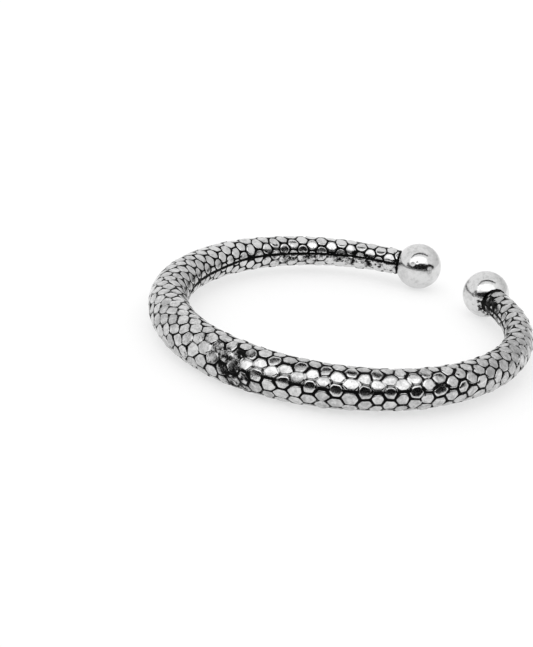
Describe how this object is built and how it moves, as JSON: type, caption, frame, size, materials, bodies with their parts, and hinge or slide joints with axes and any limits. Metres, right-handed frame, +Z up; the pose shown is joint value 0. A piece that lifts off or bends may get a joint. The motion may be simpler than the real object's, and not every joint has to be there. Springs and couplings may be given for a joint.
{
  "type": "bangle anklet",
  "caption": "Rigid open bangle for the ankle: a tapered hollow tube bent into a loop, stamped all over with a snake-scale pattern, with a polished ball closing each end.",
  "frame": {"origin": "on the surface the bangle lies on, under the middle of the loop's bounding box, which is also the middle of the bend", "axes": "+Z up, out of the loop; +Y from the middle of the loop to the mouth between the balls; +X to the right seen from the thick front with the mouth away"},
  "size_m": [0.0904, 0.0923, 0.0114],
  "materials": {
    "scale_sheet": "silver sheet stamped with scales, black oxide left in the grooves, faces polished",
    "polished_ball": "mirror-polished silver"
  },
  "bodies": {
    "root": {"scale_tube": "scale_sheet", "ball_left": "polished_ball", "ball_right": "polished_ball"}
  },
  "joints": []
}
